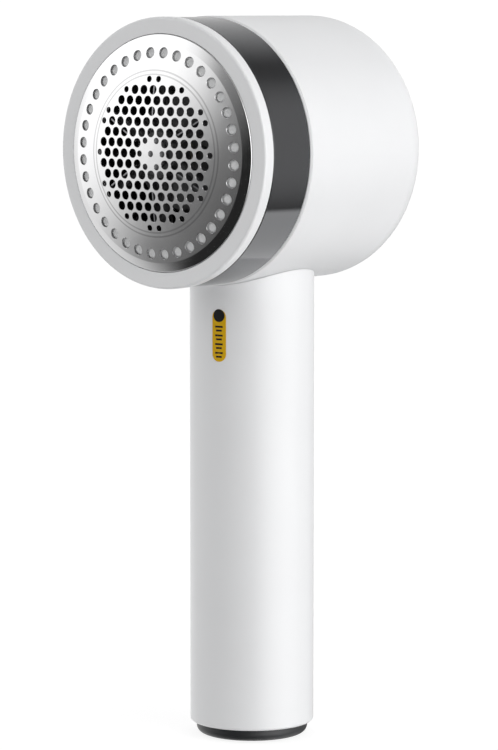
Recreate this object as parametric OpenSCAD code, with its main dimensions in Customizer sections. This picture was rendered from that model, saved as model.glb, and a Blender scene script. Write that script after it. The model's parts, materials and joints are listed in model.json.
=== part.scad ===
// Hand-held fabric shaver: a drum-shaped cutting head across the top of a round
// battery handle. +Z is up along the handle, the foil faces -Y, and the origin
// is at the middle of the foot pad, on the surface that the shaver stands on.
// Pieces of the head are drawn in the head's own frame, which at_head() places:
// there +Z runs forward along the motor shaft and 0 is above the handle's axis.

/* [Handle] */
// Outer diameter of the handle tube
handle_d = 36; // [36:0.5:38]
// Wall thickness of the handle tube
handle_wall = 2; // [1.8:0.1:2.2]
// Height of the head's axis above the surface it stands on
head_h = 170.5; // [170:0.5:172]
// Height at which the white tube starts, above the base cap
handle_foot = 3.8; // [3.4:0.1:4]
// Diameter of the base cap's visible rim
base_d = 32.4; // [32.2:0.1:35]

/* [Drum] */
// Outer diameter of the drum
drum_d = 76.4; // [76.2:0.1:77]
// Distance from the handle's axis to the drum's rear face
drum_rear = 35.2; // [35:0.1:36]
// Distance from the handle's axis to the drum's front edge
drum_front = 19.6; // [19.6:0.1:19.7]
// Rounding of the drum's rear edge
drum_edge = 9.2; // [8:0.1:9.5]
// Wall thickness of the drum
drum_wall = 2.2; // [2:0.1:2.4]

/* [Lint container] */
// Outer diameter of the smoky band
band_d = 75.8; // [75.4:0.1:76.4]
// Distance from the handle's axis to the band's rear edge
band_rear = 19.9; // [19.9:0.05:20]
// Distance from the handle's axis to the band's front edge
band_front = 35.6; // [35.5:0.05:35.6]

/* [Face ring and foil] */
// Distance from the handle's axis to the foil's highest point
apex = 43.8; // [43.8:0.1:44]
// Radius of the foil's dome
dome_r = 145; // [140:1:150]
// Thickness of the foil's steel
foil_t = 0.3; // [0.25:0.01:0.3]
// Outer diameter of the foil's rolled rim
foil_d = 66.4; // [66:0.1:66.4]
// Radius of the rolled rim
foil_curl = 1.2; // [1:0.1:1.3]
// Outer diameter of the face ring
ring_d = 76; // [75.6:0.1:76.4]
// Distance from the handle's axis to the ring's flat front
ring_face = 39.4; // [39.3:0.1:39.5]
// Rounding of the ring's outer edge
ring_edge = 0.7; // [0.5:0.1:1.6]
// Distance between neighbouring lint holes
hole_pitch = 3.42; // [3.4:0.01:3.45]
// Diameter of the lint holes
hole_d = 2.55; // [2.2:0.05:2.6]
// Diameter of the small holes around the pattern's edge and middle
small_hole_d = 1.7; // [1.4:0.1:1.8]
// Number of round windows near the rim
window_count = 36; // [24:4:36]
// Diameter of the circle of windows
window_ring_d = 56.2; // [56:0.1:56.4]
// Diameter of each window
window_d = 3; // [2.4:0.1:3.2]
// Turn that unscrews the face ring, in degrees
ring_turn = 60; // [45:1:75]
// How far the face ring comes forward over that turn
ring_lift = 6; // [5:0.5:7]

/* [Cutter and motor] */
// Number of steel cutting leaves
leaf_count = 6; // [3:1:6]
// Turn of the first leaf from the head's right, in degrees
leaf_turn = 30; // [0:5:60]
// Radius swept by the leaves
leaf_reach = 21.6; // [20:0.1:21.8]
// How far the cutter can be pushed back against its spring
cutter_float = 1.2; // [0.8:0.1:1.2]
// Diameter of the motor's steel can
motor_d = 27.7; // [27:0.1:27.7]
// Length of the motor's steel can
motor_l = 32.6; // [32:0.1:33]
// Diameter of the motor shaft
shaft_d = 2.3; // [2:0.1:2.4]

/* [Battery and controls] */
// Diameter of the rechargeable cell
cell_d = 18.5; // [18:0.1:18.6]
// Length of the cell
cell_l = 65; // [64:0.5:65.5]
// Height of the power button's middle
button_h = 106; // [104:1:108]
// Diameter of the power button
button_d = 11.8; // [11:0.1:12]
// How far the power button travels
button_travel = 0.6; // [0.4:0.1:0.7]
// Height of the charge light
light_h = 90; // [80:1:94]
// Height of the label's middle
label_h = 118; // [112:1:120]
// Turn of the label around the handle, from straight ahead
label_turn = 8.7; // [0:0.1:20]

/* [Hidden] */
$fn = 96;
FINE = 720;      // sides of the dome's large circles
SMALL = 24;      // sides of screws and other small round pieces
GAP = 0.1;       // clearance between fixed pieces

handle_r = handle_d / 2;
handle_in = handle_r - handle_wall;
drum_r = drum_d / 2;
drum_in = drum_r - drum_wall;
band_r = band_d / 2;
ring_r = ring_d / 2;
dome_z = apex - dome_r;
foil_r = foil_d / 2;

// Neck: the handle's upper tube, held in the drum by a ring nut
neck_r = 10.5;
neck_bore = 8.5;
neck_top = head_h - 25.5;
deck_h = head_h - 46.5;
deck_t = 3;
pad_r = 13;
pad_top = head_h - 30.3;
nut_h = 3.6;

// Chassis: the bulkhead, and the cup that carries the motor on it
plate_z0 = 13.2;
plate_z1 = 15.4;
nose_r = 16;
nose_front = 31.2;
sleeve_rear = 4;
skirt_r = 22.2;
cup_flange_r = 21.5;
cup_screw_ring = 19;
post_ring = 31;
post_turn = 90;
post_r = 3;

// Lint container
floor_z0 = 15.7;
floor_z1 = 17.2;
bin_in = 33.8;
socket_in = 35.5;
socket_z = 27;

// Bayonet between the container and the face ring
lug_count = 3;
lug_arc = 12;
lug_t = 1.4;
lug_z = 32.4;
lug_gap = 0.25;
ring_skirt = 34.1;
ring_skirt_in = 32;
ring_skirt_rear = 29.4;
ring_back = 35.95;
ledge_z = 37.4;
ledge_r = 27;

// Motor
motor_r = motor_d / 2;
motor_front = 29;
motor_rear = motor_front - motor_l;
can_t = 1;
cap_t = 2.6;
bush_r = 2;
boss_r = 3;
shaft_r = shaft_d / 2;
motor_screw_x = 8;

// Drive and cutter
dog_z = 33.4;
dog_top = 38.9;
hub_bore_top = dog_top + cutter_float + 0.2;
hub_rear = 34;
hub_front = 41;
hub_r = 6.2;
spring_pocket = 5.1;
spring_top = 37.5;
arm_z0 = 36;
arm_z1 = 39.5;
leaf_t = 0.4;
leaf_root = 6.8;

// Battery, its frame and the board
cell_y = -3;
cell_r = cell_d / 2;
cell_z = 40;
frame_z0 = 36;
frame_z1 = 110;
spine_y = 7;
spine_t = 1.6;
board_y = 8.7;
board_t = 1.2;
board_z0 = 8;
board_z1 = 118;
usb_w = 8.94;
usb_t = 3.26;
usb_z0 = 2.2;
usb_l = 7.3;
usb_y = board_y - usb_t / 2;
leg_x = 9;
leg_y = -3;
flange_t = 0.8;
flange_y = 12.8;
plunger_y = board_y + board_t + 1.3;

// ---- Shared shapes -------------------------------------------------------

module at_head() translate([0, 0, head_h]) rotate([90, 0, 0]) children();

module on_rear(h) translate([0, 0, h]) rotate([-90, 0, 0]) children();

module around(n, start = 0)
    for (i = [0:n - 1]) rotate([0, 0, start + i * 360 / n]) children();

module rod(r, z0, z1) translate([0, 0, z0]) cylinder(r = r, h = z1 - z0);

module tube(r_out, r_in, z0, z1)
    rotate_extrude() translate([r_in, z0]) square([r_out - r_in, z1 - z0]);

module block(x, y, z)
    translate([x[0], y[0], z[0]]) cube([x[1] - x[0], y[1] - y[0], z[1] - z[0]]);

// Half outline of the drum, shrunk by inset, open forward up to front
module drum_outline(inset, front) {
    r = drum_edge - inset;
    rear = inset - drum_rear;
    translate([0, rear + r]) square([drum_r - inset, front - rear - r]);
    translate([0, rear]) square([drum_r - inset - r, r]);
    translate([drum_r - inset - r, rear + r]) circle(r);
}

// Everything below the dome when it is sunk by depth, out to radius r
module under_dome(depth, r, z0) {
    rotate_extrude() intersection() {
        translate([0, dome_z]) circle(dome_r - depth, $fn = FINE);
        translate([0, z0]) square([r, apex - z0]);
    }
}

// Screw with a flat round head, pointing backwards from z = 0
module screw(head_r, head_t, shank_r, length) {
    rod(head_r, 0, head_t, $fn = SMALL);
    rod(shank_r, -length, 0.01, $fn = SMALL);
}

// One sloping bayonet lug between two radii, its middle at height z
module lug(r0, r1, z) {
    rise = lug_arc * ring_lift / ring_turn;
    hull() for (side = [-0.5, 0.5])
        rotate([0, 0, side * lug_arc])
            translate([r0, -0.05, z + side * rise - lug_t / 2])
                cube([r1 - r0, 0.1, lug_t]);
}

// Ring of points around p, square to direction d
function wire_ring(p, d, r, n) =
    let (w = d / norm(d),
         a = abs(w[2]) < 0.9 ? [0, 0, 1] : [1, 0, 0],
         u = cross(a, w) / norm(cross(a, w)),
         v = cross(w, u))
    [for (i = [0:n - 1]) p + r * (cos(i * 360 / n) * u + sin(i * 360 / n) * v)];

// Round wire through a list of points
module wire(path, r, n = 8) {
    last = len(path) - 1;
    rings = [for (i = [0:last])
        wire_ring(path[i], path[min(i + 1, last)] - path[max(i - 1, 0)], r, n)];
    sides = [for (i = [0:last - 1], j = [0:n - 1])
        [i * n + j, i * n + (j + 1) % n, (i + 1) * n + (j + 1) % n, (i + 1) * n + j]];
    polyhedron(
        points = [for (ring = rings) for (p = ring) p],
        faces = concat(
            [[for (j = [0:n - 1]) n - 1 - j]], sides,
            [[for (j = [0:n - 1]) last * n + j]]),
        convexity = 6);
}

// ---- Housing -------------------------------------------------------------

module head_shell() color("white") {
    chamfer = 0.5;
    boss_z = motor_rear - cap_t - 3.1;
    difference() {
        union() {
            at_head() rotate_extrude() intersection() {
                difference() {
                    drum_outline(0, drum_front);
                    drum_outline(drum_wall, drum_front + 1);
                }
                polygon([[0, -drum_rear], [drum_r, -drum_rear],
                    [drum_r, drum_front - chamfer], [drum_r - chamfer, drum_front],
                    [0, drum_front]]);
            }
            intersection() {
                rod(pad_r, head_h - drum_r, pad_top);
                at_head() rotate_extrude() intersection() {
                    drum_outline(0.5, drum_front);
                    translate([0, -drum_rear]) square([drum_r, 2 * drum_rear]);
                }
            }
            at_head() around(3, post_turn) translate([post_ring, 0, 0])
                rod(post_r, 2 - drum_rear, plate_z0);
            at_head() tube(11.5, 9, 1 - drum_rear, boss_z);
        }
        rod(neck_r + GAP, head_h - drum_r - 1, pad_top + 1);
        at_head() around(3, post_turn) translate([post_ring, 0, 0])
            rod(1.25, plate_z0 - 12, plate_z0 + 1, $fn = SMALL);
        at_head() block([-6.8, 6.8], [-13, 0], [3 - drum_rear, boss_z + 1]);
    }
}

module handle_shell() color("white") {
    edge = 0.5;
    top = head_h - 32.5;
    difference() {
        union() {
            difference() {
                rotate_extrude() polygon([
                    [handle_in, handle_foot], [handle_r - edge, handle_foot],
                    [handle_r, handle_foot + edge], [handle_r, top],
                    [handle_in, top], [handle_in, deck_h + deck_t],
                    [neck_bore, deck_h + deck_t], [neck_bore, deck_h],
                    [handle_in, deck_h]]);
                translate([0, drum_rear, head_h]) rotate([90, 0, 0])
                    cylinder(r = drum_r + GAP, h = 2 * drum_rear);
            }
            tube(neck_r, neck_bore, deck_h + 1, neck_top);
        }
        on_rear(button_h) rod(button_d / 2 + 0.15, handle_in - 6, handle_r + 1);
        on_rear(light_h) rod(1.55, handle_in - 3, handle_r + 1, $fn = SMALL);
    }
}

module base_cap() color("dimgray") difference() {
    round_r = 2.2;
    r = base_d / 2;
    bottom = 0.15;
    rim_h = handle_foot - 0.1 - bottom;
    union() {
        rotate_extrude() {
            translate([0, bottom]) square([r - round_r, rim_h]);
            translate([0, bottom + round_r]) square([r, rim_h - round_r]);
            translate([r - round_r, bottom + round_r]) circle(round_r);
        }
        tube(handle_in - GAP, handle_in - 2, handle_foot - 0.2, 9);
    }
    rod(13.2, 0, 1.2);
    for (side = [-1, 1]) translate([side * leg_x, leg_y, 0]) {
        rod(1.4, 0, 5, $fn = SMALL);
        rod(2.5, 0, 2.6, $fn = SMALL);
    }
    block([-usb_w / 2 - 0.2, usb_w / 2 + 0.2],
        [usb_y - usb_t / 2 - 0.2, usb_y + usb_t / 2 + 0.2], [0, 5]);
    block([-7.2, 7.2], [board_y - 0.1, board_y + board_t + 0.1], [3, 10]);
}

module foot_pad() color("black") difference() {
    rod(13, 0, 1.2);
    block([-usb_w / 2 - 1.4, usb_w / 2 + 1.4],
        [usb_y - usb_t / 2 - 1.3, usb_y + usb_t / 2 + 1.3], [-1, 2]);
}

// Plain capsule-shaped label stuck to the front of the handle
module label() color("gold") {
    width = 4.8;
    length = 15;
    rotate([0, 0, label_turn]) intersection() {
        tube(handle_r + 0.12, handle_r, label_h - length, label_h + length);
        translate([0, 0, label_h]) rotate([90, 0, 0]) {
            for (side = [-1, 1]) translate([0, side * (length - width) / 2, 0])
                cylinder(d = width, h = handle_d);
            translate([-width / 2, -(length - width) / 2, 0])
                cube([width, length - width, handle_d]);
        }
    }
}

module neck_nut() color("silver") difference() {
    rod(12.8, pad_top, pad_top + nut_h);
    rod(neck_r, pad_top - 1, pad_top + nut_h + 1);
    for (a = [0:60:300]) rotate([0, 0, a])
        block([12, 14], [-1.2, 1.2], [pad_top + 1.2, pad_top + nut_h + 1]);
}

module drum_seal() color("black")
    at_head() tube(drum_r - 0.9, drum_in + 0.1, drum_front, band_rear - 0.05);

// ---- Motor carrier and motor ---------------------------------------------

module chassis() color("darkslategray") at_head() difference() {
    union() {
        tube(drum_in - 0.2, nose_r + 0.05, plate_z0, plate_z1);
        tube(skirt_r, nose_r + 0.05, plate_z1 - 0.1, floor_z1);
    }
    around(3, -post_turn) translate([cup_screw_ring, 0, 0])
        rod(1.05, plate_z0 - 1, floor_z1 - 1, $fn = SMALL);
    around(3, post_turn) translate([post_ring, 0, 0]) {
        rod(1.35, plate_z0 - 1, plate_z1 + 1, $fn = SMALL);
        rod(2.5, plate_z1 - 1.2, plate_z1 + 1, $fn = SMALL);
    }
}

// Cup around the motor, its flange screwed to the back of the chassis
module motor_cup() color("darkslategray") at_head() difference() {
    union() {
        tube(nose_r, motor_r + GAP, sleeve_rear, nose_front);
        tube(cup_flange_r, nose_r - 0.1, plate_z0 - 2.05, plate_z0 - 0.05);
        rod(nose_r - 1, motor_front + 0.1, nose_front);
    }
    rod(boss_r + 0.05, motor_front - 1, nose_front + 1, $fn = 48);
    for (side = [-1, 1]) translate([side * motor_screw_x, 0, 0])
        rod(1.35, motor_front - 1, nose_front + 1, $fn = SMALL);
    around(3, -post_turn) translate([cup_screw_ring, 0, 0])
        rod(1.05, plate_z0 - 3, plate_z0, $fn = SMALL);
}

module cup_screws() color("silver") at_head()
    around(3, -post_turn) translate([cup_screw_ring, 0, plate_z0 - 2.05]) mirror([0, 0, 1])
        screw(1.8, 1, 1, 4.6);

module chassis_screws() color("silver") at_head()
    around(3, post_turn) translate([post_ring, 0, plate_z1 - 1.2])
        screw(2.4, 1.1, 1.2, 9);

module dust_seal() color("ivory")
    at_head() tube(5, shaft_r + 0.2, nose_front, nose_front + 1);

module motor_can() color("silver") at_head() difference() {
    union() {
        tube(motor_r, motor_r - can_t, motor_rear, motor_front);
        rod(motor_r, motor_front - 1.2, motor_front);
        rod(boss_r, motor_front - 1.2, motor_front + 1.6, $fn = 48);
    }
    rod(bush_r, motor_front - 3, motor_front + 3, $fn = 48);
    for (side = [-1, 1]) translate([side * motor_screw_x, 0, 0])
        rod(1.3, motor_front - 3, motor_front + 1, $fn = SMALL);
}

module motor_magnets() color("dimgray") at_head()
    for (side = [0, 180]) rotate([0, 0, side - 55]) translate([0, 0, 4])
        rotate_extrude(angle = 110) translate([10.6, 0]) square([2.2, 21]);

module motor_end_cap() color("black") at_head() difference() {
    union() {
        rod(motor_r, motor_rear - cap_t, motor_rear);
        tube(motor_r - can_t - GAP, 10.5, motor_rear - 0.1, motor_rear + 2);
        rod(3.4, motor_rear - cap_t - 1.6, motor_rear - cap_t + 0.1, $fn = 48);
    }
    rod(bush_r, motor_rear - 8, motor_rear + 1, $fn = 48);
    for (side = [-1, 1]) translate([side * 5, 0, 0])
        block([-0.35, 0.35], [-1.3, 1.3], [motor_rear - cap_t - 1, motor_rear + 1]);
}

module motor_bushes() color("goldenrod") at_head() {
    tube(bush_r, shaft_r + 0.05, motor_front - 1.2, motor_front + 1.6, $fn = 48);
    tube(bush_r, shaft_r + 0.05, motor_rear - cap_t - 1.4, motor_rear, $fn = 48);
}

module motor_brushes() color("dimgray") at_head()
    for (side = [0, 180]) rotate([0, 0, side])
        block([3.3, 5.6], [-1.2, 1.2], [motor_rear, motor_rear + 4.6]);

module motor_terminals() color("gold") at_head()
    for (side = [-1, 1]) translate([side * 5, 0, 0])
        block([-0.3, 0.3], [-1.2, 1.2], [motor_rear - cap_t - 3, motor_rear]);

module motor_screws() color("silver") at_head()
    for (side = [-1, 1]) translate([side * motor_screw_x, 0, nose_front])
        screw(2.2, 1.3, 1.2, 3.6);

module motor_damper() color("black")
    at_head() tube(11.4, 9.2, motor_rear - cap_t - 3, motor_rear - cap_t);

// Two insulated leads from the motor down through the neck to the board
module motor_leads() color("firebrick") {
    back = cap_t - motor_rear + 3.85;
    for (side = [-1, 1])
        wire([
            [side * 5, back, head_h + 1.4], [side * 5, back, head_h - 12],
            [side * 5, back, head_h - 17], [side * 4.6, 8.4, head_h - 21],
            [side * 4, 6, head_h - 26], [side * 4, 6, deck_h + 4],
            [side * 4, 6.2, deck_h], [side * 4, 8.6, board_z1 + 3.4],
            [side * 4, board_y + 0.6, board_z1 + 1.4],
            [side * 4, board_y + 0.6, board_z1 + 0.05]], 0.8);
}

// ---- Battery, board and controls -----------------------------------------

module battery_cell() color("royalblue") translate([0, cell_y, cell_z]) {
    rod(cell_r, 0, cell_l - 0.8);
    rod(4, cell_l - 1, cell_l, $fn = 48);
}

module battery_frame() color("darkgray") difference() {
    union() {
        translate([0, cell_y, 0]) rod(cell_r + 2, frame_z0, frame_z1);
        block([-8, 8], [cell_y, spine_y + spine_t], [frame_z0, board_z1 - 0.5]);
        for (side = [-1, 1]) translate([side * leg_x, leg_y, 0])
            rod(3, handle_foot + 0.1, frame_z0 + 1, $fn = 48);
    }
    translate([0, cell_y, 0]) rod(cell_r + 0.15, cell_z - 0.5, cell_z + cell_l + 1.5);
    block([-12, 12], [-16, cell_y - 3], [cell_z - 0.5, cell_z + cell_l + 1.5]);
    block([-9, 9], [cell_y - 1, spine_y], [frame_z1, board_z1]);
    for (z = [cell_z - 0.5, cell_z + cell_l - 0.5])
        block([-3.4, 3.4], [0, spine_y + spine_t + 1], [z, z + 1]);
    for (side = [-1, 1]) translate([side * leg_x, leg_y, 0])
        rod(1.25, handle_foot, handle_foot + 11, $fn = SMALL);
    for (z = [60, 114]) on_rear(z) rod(1.05, spine_y - 0.5, board_y, $fn = SMALL);
}

module battery_tabs() color("silver") {
    block([-3, 3], [-8, board_y], [cell_z - 0.25, cell_z]);
    block([-3, 3], [-8, board_y], [cell_z + cell_l, cell_z + cell_l + 0.25]);
}

module control_board() color("darkgreen") difference() {
    block([-7, 7], [board_y, board_y + board_t], [board_z0, board_z1]);
    for (z = [60, 114]) on_rear(z) rod(1.05, board_y - 1, board_y + 3, $fn = SMALL);
}

module board_chips() color("black") {
    y = [board_y + board_t, board_y + board_t + 1.2];
    block([-2.5, 2.5], y, [70, 75]);
    block([-5.5, -3.5], y, [71, 74]);
    block([3, 6], y, [18, 24]);
    block([-4, 0], y, [26, 30]);
    block([-6, -2], y, [40, 44.4]);
}

module board_screws() color("silver")
    for (z = [60, 114]) on_rear(z) translate([0, 0, board_y + board_t])
        screw(1.8, 1, 1, 2.9);

// Charging socket standing on the board, its mouth down in the base cap
module usb_socket() color("silver") difference() {
    usb_outline(usb_w, usb_t, usb_z0, usb_z0 + usb_l);
    usb_outline(usb_w - 0.6, usb_t - 0.6, usb_z0 - 1, usb_z0 + usb_l - 0.6);
}

module usb_outline(w, t, z0, z1) translate([0, usb_y, 0]) {
    for (side = [-1, 1]) translate([side * (w - t) / 2, 0, 0])
        rod(t / 2, z0, z1, $fn = 48);
    block([(t - w) / 2, (w - t) / 2], [-t / 2, t / 2], [z0, z1]);
}

module usb_tongue() color("black")
    block([-3.3, 3.3], [usb_y - 0.35, usb_y + 0.35],
        [usb_z0 + 1, usb_z0 + usb_l - 0.6]);

module switch_body() color("silver") difference() {
    block([-2.25, 2.25], [board_y + board_t, board_y + board_t + 2],
        [button_h - 2.25, button_h + 2.25]);
    on_rear(button_h) rod(1.25, plunger_y - button_travel - 0.1, handle_r, $fn = SMALL);
}

module charge_led() color("lime")
    block([-0.8, 0.8], [board_y + board_t, board_y + board_t + 0.7],
        [light_h - 0.6, light_h + 0.6]);

module light_lens() color("lightblue") intersection() {
    on_rear(light_h) rod(1.5, board_y + board_t + 0.8, handle_r + 1, $fn = SMALL);
    rod(handle_r, light_h - 3, light_h + 3);
}

module base_screws() color("silver")
    for (side = [-1, 1]) translate([side * leg_x, leg_y, 2.6]) mirror([0, 0, 1])
        screw(2.3, 1.2, 1.2, 10);

module power_button() color("whitesmoke") {
    intersection() {
        on_rear(button_h) rod(button_d / 2, flange_y + 0.1, handle_r + 1);
        rod(handle_r + 0.4, button_h - button_d, button_h + button_d);
    }
    on_rear(button_h) rod(button_d / 2 + 0.8, flange_y, flange_y + flange_t);
}

module switch_plunger() color("black")
    on_rear(button_h) rod(1.2, plunger_y, flange_y, $fn = SMALL);

// ---- Lint container and face ---------------------------------------------

module lint_container() color("dimgray", 0.8) at_head() {
    edge = 0.3;
    rotate_extrude() polygon([
        [skirt_r + 0.4, floor_z0], [drum_in - 0.2, floor_z0],
        [drum_in - 0.2, band_rear], [band_r - edge, band_rear],
        [band_r, band_rear + edge], [band_r, band_front - edge],
        [band_r - edge, band_front], [socket_in, band_front],
        [socket_in, socket_z], [bin_in, socket_z],
        [bin_in, floor_z1], [skirt_r + 0.4, floor_z1]]);
    around(lug_count, 30) lug(ring_skirt + 0.3, socket_in + 0.6, lug_z);
}

module ring_seal() color("black")
    at_head() tube(ring_r - 0.6, ring_skirt + 0.2, band_front + 0.05, ring_back - 0.05);

module face_ring() color("lightgray") at_head() difference() {
    union() {
        rotate_extrude() {
            translate([foil_r + 0.15, ring_back])
                square([ring_r - ring_edge - foil_r - 0.15, ring_face - ring_back]);
            translate([foil_r + 0.15, ring_back])
                square([ring_r - foil_r - 0.15, ring_face - ring_edge - ring_back]);
            translate([ring_r - ring_edge, ring_face - ring_edge]) circle(ring_edge);
            translate([ledge_r, ring_back]) square([foil_r - ledge_r + 1, ledge_z - ring_back]);
            translate([ring_skirt_in, ring_skirt_rear])
                square([ring_skirt - ring_skirt_in, ledge_z - ring_skirt_rear]);
        }
        around(lug_count, 30)
            lug(ring_skirt - 0.8, socket_in - 0.3, lug_z - lug_t - lug_gap);
    }
    around(4, 45) translate([29, 0, 0]) {
        rod(1.1, ring_back - 1, ledge_z + 1, $fn = SMALL);
        rod(1.9, ring_back - 1, ring_back + 0.7, $fn = SMALL);
    }
}

// Perforated steel dome with a rolled rim
module foil() color("gainsboro") at_head() difference() {
    rim_z = dome_z + sqrt(pow(dome_r, 2) - pow(foil_r - foil_curl, 2)) - foil_curl;
    rotate_extrude() {
        intersection() {
            difference() {
                translate([0, dome_z]) circle(dome_r, $fn = FINE);
                translate([0, dome_z]) circle(dome_r - foil_t, $fn = FINE);
            }
            translate([0, rim_z]) square([foil_r - foil_curl, dome_r]);
        }
        intersection() {
            difference() {
                translate([foil_r - foil_curl, rim_z]) circle(foil_curl);
                translate([foil_r - foil_curl, rim_z]) circle(foil_curl - foil_t);
            }
            translate([foil_r - foil_curl - 0.2, rim_z]) square(2 * foil_curl);
        }
        translate([foil_r - foil_t, ledge_z + 0.3])
            square([foil_t - 0.01, rim_z - ledge_z - 0.2]);
    }
    lint_holes();
    around(window_count, 180 / window_count) translate([window_ring_d / 2, 0, 0])
        rod(window_d / 2, ledge_z, apex + 1, $fn = SMALL);
}

// Rows of holes at 60 degrees to each other. The ring of holes just inside the
// pattern's edge and the two innermost rings are small, or left out.
module lint_holes() {
    rows = 7;
    for (j = [-rows:rows], i = [-2 * rows:2 * rows]) if ((i + j) % 2 == 0) {
        p = hole_pitch * [i / 2, j * sqrt(3) / 2];
        steps = norm(p) / hole_pitch;
        d = steps > 1.5 && steps < 5.7 ? hole_d
            : steps > 5.9 && steps < 6.12 ? small_hole_d : 0;
        if (d > 0) translate(p) rod(d / 2, ledge_z, apex + 1, $fn = SMALL);
    }
    rod(small_hole_d / 2, ledge_z, apex + 1, $fn = SMALL);
    around(6) translate([1.23 * hole_pitch, 0, 0])
        rod(small_hole_d / 2, ledge_z, apex + 1, $fn = SMALL);
}

// Plastic ring that backs the foil's rim and shows through its windows
module foil_frame() color("lightgray") at_head() difference() {
    under_dome(foil_t + 0.1, foil_r - foil_curl - 0.5, ledge_z + 0.05);
    rod(24.4, ledge_z - 1, apex);
    around(4, 45) translate([29, 0, 0]) rod(0.95, ledge_z - 1, ledge_z + 1.6, $fn = SMALL);
}

module foil_screws() color("silver") at_head()
    around(4, 45) translate([29, 0, ring_back + 0.65]) mirror([0, 0, 1])
        screw(1.7, 0.6, 0.9, 2.2);

// ---- Turning parts -------------------------------------------------------

module motor_shaft() color("silver") at_head()
    rod(shaft_r, motor_rear - cap_t - 1.3, dog_top - 0.5, $fn = 48);

module armature_core() color("slategray") at_head() difference() {
    rod(9.9, 6, 23);
    rod(shaft_r + 0.01, 5, 24, $fn = 48);
    around(5) {
        block([3.4, 8.4], [-1.8, 1.8], [5, 24]);
        block([8, 11], [-0.8, 0.8], [5, 24]);
    }
}

module armature_coils() color("chocolate") at_head() {
    tube(9, 3.4, 3.4, 6);
    tube(9, 3.4, 23, 25.4);
    around(5) block([3.6, 8.2], [-1.6, 1.6], [5.9, 23.1]);
}

module commutator() color("peru") at_head() difference() {
    tube(3.2, shaft_r + 0.01, motor_rear + 0.8, 3, $fn = 48);
    around(3) block([2.4, 4], [-0.2, 0.2], [motor_rear, 2.2]);
}

// Six-sided peg pressed on the shaft that turns the cutter
module drive_dog() color("ivory") at_head() difference() {
    union() {
        rod(4.9, dog_z - 1, dog_z, $fn = 48);
        rod(3.2, dog_z - 0.1, dog_top, $fn = 6);
    }
    rod(shaft_r + 0.01, dog_z - 2, dog_top - 0.5, $fn = 48);
}

module blade_spring() color("silver") at_head() {
    turns = 4;
    steps = 14;
    wire_r = 0.25;
    rise = (spring_top - dog_z - 2 * wire_r - 0.1) / (turns * steps);
    wire([for (i = [0:turns * steps])
        [4.35 * cos(i * 360 / steps), 4.35 * sin(i * 360 / steps),
            dog_z + wire_r + 0.05 + i * rise]], wire_r, 6);
}

module blade_hub() color("whitesmoke") at_head() difference() {
    union() {
        rod(hub_r, hub_rear, hub_front);
        around(leaf_count, leaf_turn) block([0, leaf_reach - 1.2], [-1.3, 1.3], [arm_z0, arm_z1]);
    }
    rod(spring_pocket, hub_rear - 1, spring_top + 0.1);
    rod(3.3, hub_rear, hub_bore_top, $fn = 6);
    around(leaf_count, leaf_turn)
        block([leaf_root, leaf_reach], [-leaf_t / 2 - 0.02, leaf_t / 2 + 0.02],
            [arm_z0 + 1, apex]);
    rod(1.05, hub_rear, hub_front + 1, $fn = SMALL);
}

module blade_leaves() color("silver") at_head() intersection() {
    around(leaf_count, leaf_turn)
        block([leaf_root + 0.02, leaf_reach - 0.02], [-leaf_t / 2, leaf_t / 2],
            [arm_z0 + 1, apex]);
    under_dome(foil_t + 0.08, leaf_reach, arm_z0);
}

module blade_cap() color("silver") at_head() {
    rod(4.2, hub_front, hub_front + 0.8, $fn = 48);
    rod(1, hub_bore_top + 0.1, hub_front + 0.1, $fn = SMALL);
}

head_shell();
handle_shell();
base_cap();
foot_pad();
label();
neck_nut();
drum_seal();
chassis();
motor_cup();
cup_screws();
chassis_screws();
dust_seal();
motor_can();
motor_magnets();
motor_end_cap();
motor_bushes();
motor_brushes();
motor_terminals();
motor_screws();
motor_damper();
motor_leads();
battery_cell();
battery_frame();
battery_tabs();
control_board();
board_chips();
board_screws();
usb_socket();
usb_tongue();
switch_body();
charge_led();
light_lens();
base_screws();
lint_container();
ring_seal();
face_ring();
foil();
foil_frame();
foil_screws();
motor_shaft();
armature_core();
armature_coils();
commutator();
drive_dog();
blade_spring();
blade_hub();
blade_leaves();
blade_cap();
power_button();
switch_plunger();
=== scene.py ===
"""Looks of the fabric shaver: studio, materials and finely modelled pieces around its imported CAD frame.

Everything is in metres, in the CAD's own frame: +Z is up along the handle and the foil faces -Y.
"""
import json
import math

import bpy
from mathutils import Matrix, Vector
from mathutils.geometry import delaunay_2d_cdt


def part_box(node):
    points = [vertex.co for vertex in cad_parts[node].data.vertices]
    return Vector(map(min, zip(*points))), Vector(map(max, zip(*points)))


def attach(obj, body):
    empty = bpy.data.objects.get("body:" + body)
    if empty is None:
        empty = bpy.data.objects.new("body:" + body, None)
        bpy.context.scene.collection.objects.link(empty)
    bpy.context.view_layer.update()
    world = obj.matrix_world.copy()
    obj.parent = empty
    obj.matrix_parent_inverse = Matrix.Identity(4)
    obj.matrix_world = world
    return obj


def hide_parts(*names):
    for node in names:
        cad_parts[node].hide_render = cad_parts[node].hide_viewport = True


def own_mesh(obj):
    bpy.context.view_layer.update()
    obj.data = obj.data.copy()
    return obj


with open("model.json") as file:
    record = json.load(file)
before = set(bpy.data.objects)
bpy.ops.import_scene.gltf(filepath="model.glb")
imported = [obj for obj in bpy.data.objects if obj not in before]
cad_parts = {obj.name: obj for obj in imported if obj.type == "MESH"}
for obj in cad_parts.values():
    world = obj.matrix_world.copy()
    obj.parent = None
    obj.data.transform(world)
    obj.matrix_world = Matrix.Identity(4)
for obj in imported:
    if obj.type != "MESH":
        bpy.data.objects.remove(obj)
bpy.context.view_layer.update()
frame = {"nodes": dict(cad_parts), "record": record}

MM = 0.001
NODES = frame["nodes"]

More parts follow.
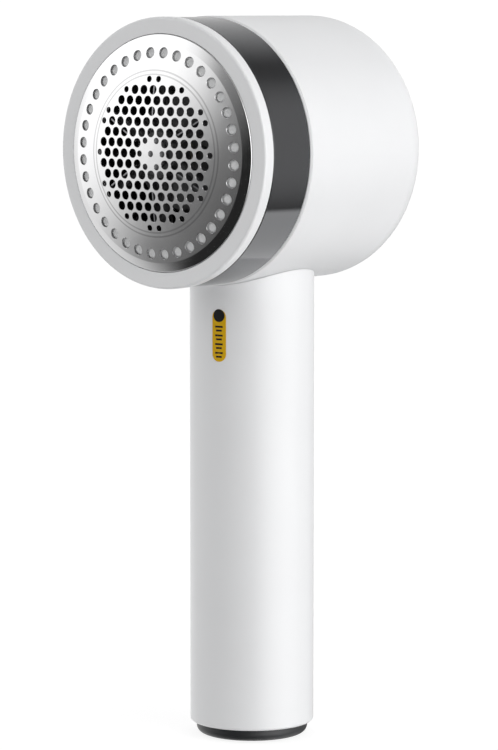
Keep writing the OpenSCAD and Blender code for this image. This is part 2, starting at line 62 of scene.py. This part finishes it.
# Places read from the CAD: the head's axis and the handle's
FOIL_LOW, FOIL_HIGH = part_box("foil")
HEAD_Z = (FOIL_LOW.z + FOIL_HIGH.z) / 2
APEX = -FOIL_LOW.y
FOIL_R = FOIL_HIGH.x
HANDLE_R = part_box("handle_shell")[1].x

# ---- Camera --------------------------------------------------------------

# Found by fitting the view to the photograph, then rounded
VIEW_AZIMUTH = math.radians(40.15)
VIEW_ELEVATION = math.radians(6.2)
VIEW_DISTANCE = 0.9384
LENS = 162.0
AIM = Vector((0.0252, -0.0312, 0.1094))


def camera():
    """A long lens, 40 degrees round from the foil's side towards +X, looking 6 degrees down."""
    data = bpy.data.cameras.new("camera")
    data.lens = LENS
    data.sensor_width = 36
    data.clip_start = 0.01
    data.clip_end = 50
    back = Vector((math.sin(VIEW_AZIMUTH) * math.cos(VIEW_ELEVATION),
                   -math.cos(VIEW_AZIMUTH) * math.cos(VIEW_ELEVATION),
                   math.sin(VIEW_ELEVATION)))
    eye = bpy.data.objects.new("camera", data)
    eye.location = AIM + VIEW_DISTANCE * back
    eye.rotation_euler = back.to_track_quat("Z", "Y").to_euler()
    bpy.context.scene.collection.objects.link(eye)
    bpy.context.scene.camera = eye


# ---- Node helpers --------------------------------------------------------

def new_node(tree, kind, **sockets):
    """A node of that kind, with some of its input sockets set or linked."""
    node = tree.nodes.new(kind)
    for name, value in sockets.items():
        socket = node.inputs[name.replace("_", " ")]
        if isinstance(value, bpy.types.NodeSocket):
            tree.links.new(value, socket)
        else:
            socket.default_value = value
    return node


def maths(tree, operation, first, second=0.0):
    """The result of one step of arithmetic on two numbers or sockets."""
    node = tree.nodes.new("ShaderNodeMath")
    node.operation = operation
    for socket, value in zip(node.inputs, (first, second)):
        if isinstance(value, bpy.types.NodeSocket):
            tree.links.new(value, socket)
        else:
            socket.default_value = value
    return node.outputs[0]


def spread(tree, value, low, high, start=0.3, end=0.7):
    """value, taken from the range start to end onto the range low to high."""
    node = new_node(tree, "ShaderNodeMapRange", Value=value, From_Min=start, From_Max=end,
                    To_Min=low, To_Max=high)
    return node.outputs["Result"]


# ---- Materials -----------------------------------------------------------

def place(tree):
    """Where a point is on its piece, in metres."""
    return tree.nodes.new("ShaderNodeTexCoord").outputs["Object"]


def noise(tree, size, detail=2.0, stretch=(1, 1, 1)):
    """Cloudy noise whose blobs are about size metres across, drawn out by stretch."""
    scaled = new_node(tree, "ShaderNodeMapping", Vector=place(tree), Scale=[1 / s for s in stretch])
    return new_node(tree, "ShaderNodeTexNoise", Vector=scaled.outputs[0], Scale=1 / size,
                    Detail=detail).outputs["Fac"]


def head_radius(tree):
    """Distance from the head's axis."""
    apart = new_node(tree, "ShaderNodeSeparateXYZ", Vector=place(tree))
    up = maths(tree, "SUBTRACT", apart.outputs["Z"], HEAD_Z)
    squares = maths(tree, "ADD", maths(tree, "POWER", apart.outputs["X"], 2), maths(tree, "POWER", up, 2))
    return maths(tree, "SQRT", squares)


def turned_lines(tree, size):
    """Fine rings around the head's axis, as a lathe or a polishing wheel leaves them."""
    radius = head_radius(tree)
    return new_node(tree, "ShaderNodeTexNoise", Scale=1 / size, Detail=3.0,
                    Vector=new_node(tree, "ShaderNodeCombineXYZ", X=radius).outputs[0]).outputs["Fac"]


def material(name, color, roughness, metallic=0.0, shade=0.03, shade_size=0.03, gloss=0.05,
             grain=0.002, grain_size=0.0004, pattern=None, **shader):
    """A procedural material: two shades of its colour in soft clouds, a gloss that wanders a
    little, and a fine grain that stands up by grain millimetres. The sizes are in metres."""
    made = bpy.data.materials.new(name)
    made.use_nodes = True
    tree = made.node_tree
    surface = tree.nodes["Principled BSDF"]
    clouds = noise(tree, shade_size, 4.0)
    dark = [c * (1 - shade) for c in color] + [1]
    light = [min(1, c * (1 + shade)) for c in color] + [1]
    mixed = tree.nodes.new("ShaderNodeMix")
    mixed.data_type = "RGBA"
    tree.links.new(spread(tree, clouds, 0, 1), mixed.inputs["Factor"])
    mixed.inputs["A"].default_value = dark
    mixed.inputs["B"].default_value = light
    tree.links.new(mixed.outputs["Result"], surface.inputs["Base Color"])
    tree.links.new(spread(tree, noise(tree, shade_size / 3, 3.0), roughness - gloss, roughness + gloss),
                   surface.inputs["Roughness"])
    height = pattern(tree) if pattern else noise(tree, grain_size)
    bump = new_node(tree, "ShaderNodeBump", Height=height, Strength=1.0, Distance=grain * MM)
    tree.links.new(bump.outputs["Normal"], surface.inputs["Normal"])
    surface.inputs["Metallic"].default_value = metallic
    for socket, value in shader.items():
        surface.inputs[socket.replace("_", " ")].default_value = value
    return made


# Two fine rings of painted shade on the foil, in place of the shade of two shallow grooves: their radii,
# half width and how dark they get
PAINTED_GROOVE_R = (22.05 * MM, 23.2 * MM)
PAINTED_GROOVE_HALF_WIDTH = 0.3 * MM
PAINTED_GROOVE_SHARE = 0.7


def painted_groove_shade(made):
    """Darkens the material in fine rings round the head's axis, to a share of its own colour: painted
    shade standing in for two shallow grooves.
    """
    tree = made.node_tree
    surface = tree.nodes["Principled BSDF"]
    radius = head_radius(tree)
    lines = 1.0
    for middle in PAINTED_GROOVE_R:
        away = maths(tree, "ABSOLUTE", maths(tree, "SUBTRACT", radius, middle))
        line = spread(tree, away, PAINTED_GROOVE_SHARE, 1.0, PAINTED_GROOVE_HALF_WIDTH / 2, PAINTED_GROOVE_HALF_WIDTH)
        lines = maths(tree, "MINIMUM", line, lines)
    mixed = tree.nodes.new("ShaderNodeVectorMath")
    mixed.operation = "SCALE"
    tree.links.new(surface.inputs["Base Color"].links[0].from_socket, mixed.inputs[0])
    tree.links.new(lines, mixed.inputs["Scale"])
    tree.links.new(mixed.outputs["Vector"], surface.inputs["Base Color"])
    return made


def lathe_marks(tree):
    """The fine rings of turned or polished steel."""
    return turned_lines(tree, 0.0003)


def wires(tree):
    """Streaks along Y, the motor's axis, as of wires laid side by side."""
    return noise(tree, 0.0004, 1.0, (1, 8, 1))


def fibres(tree):
    """The fine tangle of pressed felt."""
    return noise(tree, 0.0005, 5.0)


def layers(tree):
    """Thin layers across Y, as in a stack of steel sheets."""
    return noise(tree, 0.0005, 1.0, (20, 1, 20))


def finishes():
    """One material for each of the record's slots."""
    return {
        "white_shell": material("white_shell", (0.86, 0.865, 0.875), 0.36, shade=0.012, gloss=0.03),
        "ring_plastic": material("ring_plastic", (0.86, 0.865, 0.875), 0.32, shade=0.01, gloss=0.03),
        "frame_ring_plastic": material("frame_ring_plastic", (0.8, 0.805, 0.81), 0.4, grain=0.004),
        "button_plastic": material("button_plastic", (0.8, 0.805, 0.81), 0.4, grain=0.003),
        "smoke": material("smoke", (0.16, 0.162, 0.168), 0.045, metallic=0.9, shade=0.02,
                          gloss=0.01, grain=0.0003, grain_size=0.002),
        "base_plastic": material("base_plastic", (0.025, 0.026, 0.028), 0.42, shade=0.1, grain=0.004),
        "dark_plastic": material("dark_plastic", (0.2, 0.2, 0.205), 0.5, shade=0.05, grain=0.006),
        "frame_plastic": material("frame_plastic", (0.12, 0.125, 0.13), 0.55, shade=0.06, grain=0.006),
        "hub_plastic": material("hub_plastic", (0.1, 0.1, 0.103), 0.45, shade=0.08, grain=0.004),
        "ivory_plastic": material("ivory_plastic", (0.7, 0.64, 0.5), 0.45, shade=0.04, grain=0.004),
        "black_rubber": material("black_rubber", (0.012, 0.012, 0.012), 0.75, shade=0.15, grain=0.02,
                                 grain_size=0.0003),
        "felt": material("felt", (0.6, 0.55, 0.45), 0.95, shade=0.2, shade_size=0.001, grain=0.15,
                         pattern=fibres),
        "label_film": material("label_film", (0.72, 0.42, 0.004), 0.5, shade=0.03, grain=0.002,
                               Specular_IOR_Level=0.15),
        # The foil's colour carries two rings of painted groove shade
        "foil_steel": painted_groove_shade(material("foil_steel", (0.8, 0.8, 0.805), 0.13, metallic=1.0, shade=0.01,
                                      shade_size=0.01, gloss=0.03, grain=0.0004,
                                      pattern=lathe_marks)),
        "blade_steel": material("blade_steel", (0.3, 0.3, 0.31), 0.35, metallic=1.0, grain=0.002,
                                pattern=lathe_marks),
        "steel": material("steel", (0.6, 0.6, 0.61), 0.3, metallic=1.0, grain=0.001),
        "spring_steel": material("spring_steel", (0.55, 0.55, 0.55), 0.25, metallic=1.0, grain=0.001),
        "motor_steel": material("motor_steel", (0.62, 0.62, 0.6), 0.35, metallic=1.0, shade=0.06,
                                shade_size=0.004, grain=0.002),
        "core_steel": material("core_steel", (0.3, 0.3, 0.31), 0.5, metallic=1.0, grain=0.02,
                               pattern=layers),
        "nickel": material("nickel", (0.68, 0.66, 0.62), 0.25, metallic=1.0, grain=0.001),
        "magnet": material("magnet", (0.05, 0.05, 0.052), 0.6, shade=0.15, grain=0.006),
        "bronze": material("bronze", (0.6, 0.4, 0.18), 0.35, metallic=1.0, shade=0.08, grain=0.002),
        "copper": material("copper", (0.75, 0.33, 0.18), 0.3, metallic=1.0, grain=0.05, pattern=wires),
        "carbon": material("carbon", (0.03, 0.03, 0.03), 0.6, shade=0.2, grain=0.006),
        "lead_insulation": material("lead_insulation", (0.5, 0.03, 0.02), 0.4, grain=0.003),
        "battery_wrap": material("battery_wrap", (0.02, 0.1, 0.35), 0.3, shade=0.05, grain=0.01,
                                 grain_size=0.004),
        "circuit_board": material("circuit_board", (0.01, 0.14, 0.05), 0.35, shade=0.3,
                                  shade_size=0.002, grain=0.01, grain_size=0.001),
        "chip": material("chip", (0.012, 0.012, 0.012), 0.55, shade=0.1, grain=0.004,
                         Specular_IOR_Level=0.2),
        "lamp": material("lamp", (0.75, 0.85, 0.75), 0.2, grain=0.002),
        "clear_lens": material("clear_lens", (0.9, 0.93, 0.95), 0.25, grain=0.003,
                               Transmission_Weight=0.6, IOR=1.49),
    }


# ---- Mesh helpers --------------------------------------------------------

SHARP_ANGLE = 30
# How near to each other two points of an outline count as one, in millimetres
SAME_POINT = 1e-5


def head_point(x, y, forward):
    """The point at x and y from the head's axis, that far forward of the handle's axis."""
    return Vector((x, -forward, HEAD_Z + y))


def piece(name, points, faces, finish, body, slot, *replaced):
    """A smooth mesh piece that rides on a CAD body and may stand for CAD nodes."""
    mesh = bpy.data.meshes.new(name)
    mesh.from_pydata(points, [], faces)
    mesh.validate()
    mesh.update()
    mesh.materials.append(finish)
    made = bpy.data.objects.new(name, mesh)
    bpy.context.scene.collection.objects.link(made)
    mesh.shade_smooth()
    mesh.set_sharp_from_angle(angle=math.radians(SHARP_ANGLE))
    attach(made, body)
    if replaced:
        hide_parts(*replaced)
    return made


def circle(radius, count, centre=(0.0, 0.0)):
    """Points around a circle, counter-clockwise."""
    turns = [2 * math.pi * k / count for k in range(count)]
    return [Vector((centre[0] + radius * math.cos(a), centre[1] + radius * math.sin(a))) for a in turns]


# ---- Foil ----------------------------------------------------------------

DOME_R = 145 * MM
FOIL_T = 0.15 * MM
CREASE_R = 30.6 * MM
RIM_TILT = math.radians(20)
CREASE_EASE = 0.12 * MM
CURL_R = 0.35 * MM
SKIRT_END = -FOIL_HIGH.y
HOLE_PITCH = 3.42 * MM
HOLE_R = 1.275 * MM
SMALL_HOLE_R = 0.85 * MM
WINDOW_R = 1.5 * MM
WINDOW_RING = 28.1 * MM
WINDOWS = 36
CHAMFER = 0.06 * MM
RIM_POINTS = 288
# Circles of extra points, which keep the face's triangles small outside the lint holes
EXTRA_CIRCLES = (22.1 * MM, 23 * MM, 24 * MM, 25 * MM, 26 * MM, 30 * MM, CREASE_R - CREASE_EASE)
EXTRA_POINTS = 216


def dome(radius):
    """How far forward the foil's face is at that distance from its middle."""
    return APEX - DOME_R + math.sqrt(DOME_R ** 2 - radius ** 2)


def foil_holes():
    """(centre, radius, sides) of every hole: the lint holes in rows at 60 degrees to each other,
    small ones at the pattern's edge and middle, and the ring of round windows."""
    holes = [(Vector((0, 0)), SMALL_HOLE_R, 20)]
    for k in range(6):
        a = math.radians(60 * k)
        holes.append((1.23 * HOLE_PITCH * Vector((math.cos(a), math.sin(a))), SMALL_HOLE_R, 20))
    rows = 7
    for j in range(-rows, rows + 1):
        for i in range(-2 * rows, 2 * rows + 1):
            centre = HOLE_PITCH * Vector((i / 2, j * math.sqrt(3) / 2))
            steps = centre.length / HOLE_PITCH
            if (i + j) % 2:
                continue
            if 1.5 < steps < 5.7:
                holes.append((centre, HOLE_R, 28))
            elif 5.9 < steps < 6.12:
                holes.append((centre, SMALL_HOLE_R, 20))
    for k in range(WINDOWS):
        a = 2 * math.pi * (k + 0.5) / WINDOWS
        holes.append((WINDOW_RING * Vector((math.cos(a), math.sin(a))), WINDOW_R, 32))
    return holes


def foil(finish):
    """The perforated dome, with a chamfer round each hole, and a rolled rim that slopes more."""
    roll_r = FOIL_R - CURL_R * (1 - math.sin(RIM_TILT))
    roll_w = dome(CREASE_R) - (roll_r - CREASE_R) * math.tan(RIM_TILT)
    flat = []
    edges = []
    hole_of = {}
    loops = []

    def add_loop(ring):
        first = len(flat)
        flat.extend(ring)
        edges.extend((first + k, first + (k + 1) % len(ring)) for k in range(len(ring)))
        return list(range(first, first + len(ring)))

    rim = add_loop(circle(CREASE_R, RIM_POINTS))
    for centre, radius, sides in foil_holes():
        loop = add_loop(circle(radius + CHAMFER, sides, centre))
        loops.append(loop)
        for index in loop:
            hole_of[index] = (centre, radius)
    for radius in EXTRA_CIRCLES:
        add_loop(circle(radius, EXTRA_POINTS))

    # Triangles over the whole disc, in millimetres, then without those that fill a hole
    result = delaunay_2d_cdt([p / MM for p in flat], edges, [], 0, SAME_POINT)
    where = {source: new for new, sources in enumerate(result[3]) for source in sources}
    spots = [Vector(p) * MM for p in result[0]]
    owner = {where[i]: number for number, loop in enumerate(loops) for i in loop}
    triangles = [face for face in result[2]
                 if face[0] not in owner or len({owner.get(i) for i in face}) > 1]

    count = len(spots)
    points = [head_point(p.x, p.y, dome(p.length)) for p in spots]
    under = list(spots)
    for source, (centre, radius) in hole_of.items():
        spot = where[source]
        under[spot] = centre + radius * (spots[spot] - centre).normalized()
    points += [head_point(p.x, p.y, dome(p.length) - FOIL_T) for p in under]
    faces = [tuple(face) for face in triangles]
    faces += [tuple(i + count for i in reversed(face)) for face in triangles]
    for loop in loops:
        top = [where[i] for i in loop]
        first = len(points)
        points += [head_point(under[i].x, under[i].y, dome(under[i].length) - CHAMFER) for i in top]
        for k in range(len(top)):
            n = (k + 1) % len(top)
            faces.append((top[k], top[n], first + n, first + k))
            faces.append((first + k, first + n, top[n] + count, top[k] + count))

    # The rim: outside down the slope, the roll and the skirt, then back up inside
    steps = 9
    walls = []
    for inset in (0, FOIL_T):
        reach = CURL_R - inset
        arc = [RIM_TILT + k * (math.pi / 2 - RIM_TILT) / steps for k in range(steps + 1)]
        wall = [(CREASE_R + CREASE_EASE,
                 dome(CREASE_R) - CREASE_EASE * math.tan(RIM_TILT) - inset)]
        wall += [(FOIL_R - CURL_R + reach * math.sin(a),
                  roll_w - CURL_R * math.cos(RIM_TILT) + reach * math.cos(a)) for a in arc]
        wall.append((FOIL_R - inset, SKIRT_END))
        walls.append(wall)
    rows = [[where[i] for i in rim]]
    for radius, w in walls[0] + walls[1][::-1]:
        first = len(points)
        points += [head_point(p.x, p.y, w) for p in circle(radius, RIM_POINTS)]
        rows.append(list(range(first, first + RIM_POINTS)))
    rows.append([where[i] + count for i in rim])
    for upper, lower in zip(rows, rows[1:]):
        for k in range(RIM_POINTS):
            n = (k + 1) % RIM_POINTS
            faces.append((upper[k], lower[k], lower[n], upper[n]))
    return piece("foil_dome", points, faces, finish, "face_ring", "foil_steel", "foil")


# The ring behind the windows: the radii across it, and how far it lies under the foil's face
BACKING_R = (24.4 * MM, 26.5 * MM, WINDOW_RING, 29.7 * MM, 31.2 * MM)
BACKING_DEPTH = 0.75 * MM
# A dished pad from its edge to its middle: radius and depth under the foil's face, in millimetres
PAD = ((1.45, 0.85), (1.42, 0.68), (1.3, 0.58), (1.1, 0.54), (0.85, 0.6), (0.5, 0.67), (0.25, 0.69))


def foil_backing(finish):
    """The plastic ring under the foil's rim, with a low dished pad in each window."""
    around = 144
    section = [(BACKING_R[0], SKIRT_END)]
    section += [(r, dome(r) - BACKING_DEPTH) for r in BACKING_R]
    section.append((BACKING_R[-1], SKIRT_END))
    points = [head_point(p.x, p.y, w) for radius, w in section for p in circle(radius, around)]
    faces = []
    for row in range(len(section)):
        low = row * around
        high = (row + 1) % len(section) * around
        faces += [(low + k, low + (k + 1) % around, high + (k + 1) % around, high + k)
                  for k in range(around)]

    sides = 24
    for number in range(WINDOWS):
        a = 2 * math.pi * (number + 0.5) / WINDOWS
        middle = WINDOW_RING * Vector((math.cos(a), math.sin(a)))
        first = len(points)
        for radius, depth in PAD:
            points += [head_point(p.x, p.y, dome(p.length) - depth * MM)
                       for p in circle(radius * MM, sides, middle)]
        points.append(head_point(middle.x, middle.y, dome(middle.length) - PAD[-1][1] * MM))
        for row in range(len(PAD) - 1):
            low = first + row * sides
            high = low + sides
            faces += [(low + k, low + (k + 1) % sides, high + (k + 1) % sides, high + k)
                      for k in range(sides)]
        last = len(points) - 1
        faces += [(last - sides + k, last - sides + (k + 1) % sides, last) for k in range(sides)]
        faces.append(tuple(first + k for k in reversed(range(sides))))
    return piece("foil_backing", points, faces, finish, "face_ring", "frame_ring_plastic", "foil_frame")


# ---- Cutter spring -------------------------------------------------------

def cutter_spring(finish):
    """The coil spring behind the cutter, built at one fixed length; in the shaver it is pressed together
    as the cutter is pushed back.
    """
    wire_r = 0.25 * MM
    turns = 4
    steps = 36
    sides = 12
    rows = turns * steps
    low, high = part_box("blade_spring")
    coil_r = (high.x - low.x) / 2 - wire_r
    start = -high.y + wire_r
    end = -low.y - wire_r
    points = []
    for i in range(rows + 1):
        a = 2 * math.pi * i / steps
        outward = Vector((math.cos(a), math.sin(a)))
        w = start + (end - start) * i / rows
        for k in range(sides):
            b = 2 * math.pi * k / sides
            reach = coil_r + wire_r * math.cos(b)
            points.append(head_point(reach * outward.x, reach * outward.y, w + wire_r * math.sin(b)))
    faces = []
    for row in range(rows):
        near = row * sides
        far = near + sides
        faces += [(near + k, far + k, far + (k + 1) % sides, near + (k + 1) % sides)
                  for k in range(sides)]
    faces.append(tuple(range(sides)))
    faces.append(tuple(rows * sides + k for k in reversed(range(sides))))
    spring = piece("cutter_spring", points, faces, finish, "rotor", "spring_steel", "blade_spring")
    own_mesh(spring)


# ---- Label ---------------------------------------------------------------

LABEL_WIDTH = 4.5 * MM
LABEL_TURN = math.radians(8.7)
FILM_T = 0.1 * MM
INK_T = 0.02 * MM
DISC_R = 1.85 * MM
DISC_RISE = 0.5 * MM
# Four pairs of bars: the width of a pair's upper and lower bar, and the heights between them
BAR_WIDTHS = (2.5 * MM, 1.9 * MM)
BAR_HALF_HEIGHT = 0.27 * MM
BAR_PAIRS = 4
FIRST_PAIR_DROP = 3.2 * MM
PAIR_DROP = 2.5 * MM
BAR_DROP = 1.1 * MM


def label_patch(name, outline, turn, middle_z, low, high, finish, slot, *replaced):
    """A thin film of that outline, in arc length and height, wrapped round the handle from the
    radius low to the radius high."""
    count = len(outline)
    ribs = [(i, (i + 1) % count) for i in range(count)]
    inner = [p * 0.5 for p in outline]
    # Triangles inside the outline only, with points half way in so that the film can bend
    found = delaunay_2d_cdt([p / MM for p in outline + inner], ribs, [], 1, SAME_POINT)
    spots = [Vector(p) * MM for p in found[0]]
    points = []
    for radius in (high, low):
        for p in spots:
            a = turn + p.x / HANDLE_R
            points.append(Vector((radius * math.sin(a), -radius * math.cos(a), middle_z + p.y)))
    size = len(spots)
    faces = [tuple(f) for f in found[2]] + [tuple(i + size for i in reversed(f)) for f in found[2]]
    for i in range(count):
        n = (i + 1) % count
        faces.append((n, i, i + size, n + size))
    return piece(name, points, faces, finish, "housing", slot, *replaced)


def capsule(width, length, steps=24):
    """The outline of a strip with round ends, standing up."""
    reach = (length - width) / 2
    top = [Vector((width / 2 * math.cos(a), reach + width / 2 * math.sin(a)))
           for a in (math.pi * k / steps for k in range(steps + 1))]
    return top + [-p for p in top]


def label(base, ink):
    """The yellow strip on the handle, with a plain disc and plain bars."""
    low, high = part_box("label")
    middle_z = (low.z + high.z) / 2
    length = high.z - low.z
    film = HANDLE_R + FILM_T
    label_patch("label_strip", capsule(LABEL_WIDTH, length), LABEL_TURN, middle_z, HANDLE_R, film,
                base, "label_film", "label")
    disc_z = middle_z + length / 2 - LABEL_WIDTH / 2 + DISC_RISE
    label_patch("label_disc", circle(DISC_R, 32), LABEL_TURN, disc_z, film, film + INK_T, ink, "chip")
    corners = ((1, 1), (-1, 1), (-1, -1), (1, -1))
    for row in range(BAR_PAIRS):
        for part, wide in enumerate(BAR_WIDTHS):
            name = "label_bar_%d%s" % (row + 1, "ab"[part])
            bar = [Vector((x * wide / 2, y * BAR_HALF_HEIGHT)) for x, y in corners]
            bar_z = disc_z - FIRST_PAIR_DROP - row * PAIR_DROP - part * BAR_DROP
            label_patch(name, bar, LABEL_TURN, bar_z, film, film + INK_T, ink, "chip")


# ---- Studio --------------------------------------------------------------

# Soft patches of light in the sky: azimuth and elevation of the middle in degrees (azimuth 0 is
# in front of the foil, 90 is towards +X), half the width that is fully bright, half the width
# where it ends, brightness, and how it fades between the two. The brightnesses, SKY and
# FLOOR_GLOW started from a fit to the photograph's light and shade, made by a scratch program,
# and were then rounded and partly changed by hand
LIGHTS = {
    "left": (-58, 22, 12, 44, 0.99, "SMOOTHSTEP"),
    "left_wide": (-82, 38, 47, 86, 0.38, "LINEAR"),
    "left_low": (-100, -35, 10, 50, 0.62, "SMOOTHSTEP"),
    "rear_left_low": (-125, -35, 10, 45, 0.27, "SMOOTHSTEP"),
    "rear_left": (-135, 20, 10, 50, 0.39, "SMOOTHSTEP"),
    "rear": (180, 5, 3, 36, 0.35, "SMOOTHSTEP"),
    "rear_low": (165, -60, 29, 32, 1.1, "SMOOTHSTEP"),
    "rear_right": (140, 5, 10, 45, 0.43, "SMOOTHSTEP"),
    "right": (90, 5, 14, 50, 2.9, "SMOOTHSTEP"),
    "right_high": (90, 50, 10, 45, 0.57, "SMOOTHSTEP"),
}
SKY = 0.02
FLOOR_GLOW = 0.42
FLOOR_TINT = 0.25
FLOOR_BRIGHTNESS = 0.85
BACKDROP_BRIGHTNESS = 1.05
FLOOR_SIZE = 8.0
# The floor lies this much under the base, and the bounce plane twice as much
FLOOR_GAP = 0.1 * MM


def direction(azimuth, elevation):
    """The unit vector towards a place in the sky, given in degrees."""
    a, e = math.radians(azimuth), math.radians(elevation)
    return Vector((math.sin(a) * math.cos(e), -math.cos(a) * math.cos(e), math.sin(e)))


def studio():
    """A dim even sky with soft patches of light, and a pale floor and backdrop."""
    world = bpy.data.worlds.new("studio")
    bpy.context.scene.world = world
    world.use_nodes = True
    world.cycles.sampling_method = "NONE"
    tree = world.node_tree
    towards = tree.nodes.new("ShaderNodeTexCoord").outputs["Generated"]
    total = SKY
    for azimuth, elevation, full, edge, brightness, falloff in LIGHTS.values():
        dot = new_node(tree, "ShaderNodeVectorMath")
        dot.operation = "DOT_PRODUCT"
        tree.links.new(towards, dot.inputs[0])
        dot.inputs[1].default_value = direction(azimuth, elevation)
        patch = new_node(tree, "ShaderNodeMapRange", Value=dot.outputs["Value"],
                         From_Min=math.cos(math.radians(edge)), From_Max=math.cos(math.radians(full)),
                         To_Min=0.0, To_Max=brightness)
        patch.interpolation_type = falloff
        total = maths(tree, "ADD", patch.outputs["Result"], total)
    tree.links.new(total, tree.nodes["Background"].inputs["Color"])
    bpy.context.scene.view_settings.view_transform = "Standard"

    # The floor that the camera sees, without its light
    bpy.ops.mesh.primitive_plane_add(size=FLOOR_SIZE, location=(0, 0, -FLOOR_GAP))
    floor = bpy.context.object
    floor.name = "floor"
    floor.data.materials.append(glowing("floor", FLOOR_TINT, FLOOR_BRIGHTNESS))
    floor.visible_glossy = False
    floor.visible_diffuse = False
    # Its light, without what the camera sees
    bpy.ops.mesh.primitive_plane_add(size=FLOOR_SIZE, location=(0, 0, -2 * FLOOR_GAP))
    bounce = bpy.context.object
    bounce.name = "bounce"
    bounce.data.materials.append(glowing("bounce", FLOOR_TINT, FLOOR_GLOW))
    bounce.visible_glossy = False
    bounce.visible_camera = False
    bpy.ops.mesh.primitive_uv_sphere_add(segments=48, ring_count=24, radius=FLOOR_SIZE / 2)
    backdrop = bpy.context.object
    backdrop.name = "backdrop"
    backdrop.data.materials.append(glowing("backdrop", 0.0, BACKDROP_BRIGHTNESS))
    backdrop.visible_diffuse = False
    backdrop.visible_glossy = False
    backdrop.visible_transmission = False
    backdrop.visible_shadow = False


def glowing(name, tint, glow):
    """A pale matt surface that also glows by itself, so that only a faint shadow shows on it."""
    made = bpy.data.materials.new(name)
    made.use_nodes = True
    surface = made.node_tree.nodes["Principled BSDF"]
    surface.inputs["Base Color"].default_value = (tint, tint, tint, 1)
    surface.inputs["Roughness"].default_value = 1.0
    surface.inputs["Specular IOR Level"].default_value = 0.0
    surface.inputs["Emission Color"].default_value = (1, 1, 1, 1)
    surface.inputs["Emission Strength"].default_value = glow
    return made


# ---- Building ------------------------------------------------------------

def main():
    camera()
    studio()
    finish = finishes()
    for row in frame["record"]["subparts"]:
        for material_slot in NODES[row["node"]].material_slots:
            material_slot.material = finish[row["material_slot"]]
    foil(finish["foil_steel"])
    foil_backing(finish["frame_ring_plastic"])
    cutter_spring(finish["spring_steel"])
    label(finish["label_film"], finish["chip"])


main()
